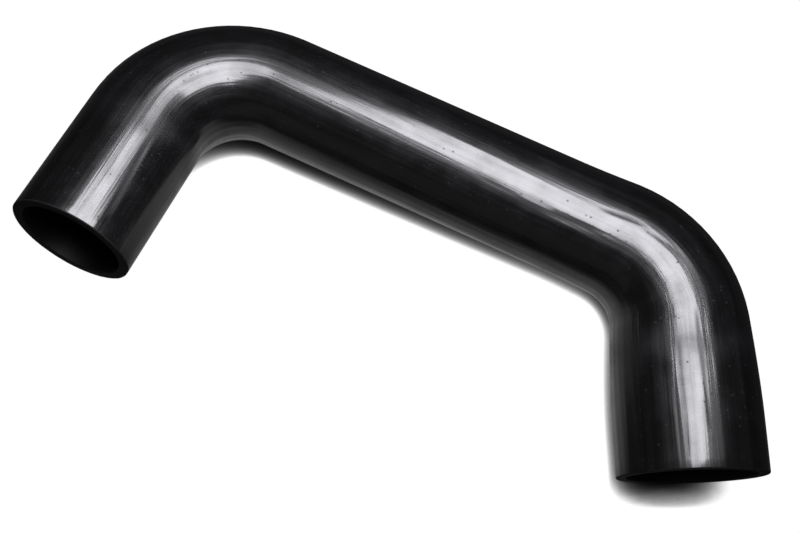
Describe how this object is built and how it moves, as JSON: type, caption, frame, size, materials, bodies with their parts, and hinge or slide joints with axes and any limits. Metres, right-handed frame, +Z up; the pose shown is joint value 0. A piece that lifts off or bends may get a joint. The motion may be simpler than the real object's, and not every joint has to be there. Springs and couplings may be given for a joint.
{
  "type": "charge air hose",
  "caption": "Moulded black rubber charge air hose with two bends and a wider cuff at one end, open from mouth to mouth.",
  "frame": {"origin": "middle of the bounding box's lowest face, on the ground that the hose lies on", "axes": "+Z up, +X along the run between the bends towards the larger mouth, both mouths towards -Y"},
  "size_m": [0.3688, 0.1552, 0.08],
  "materials": {
    "moulded_rubber": "moulded black rubber with a wiped gloss, faint lengthwise draw marks, cut ends matt"
  },
  "bodies": {
    "root": {"charge_air_hose": "moulded_rubber"}
  },
  "joints": []
}
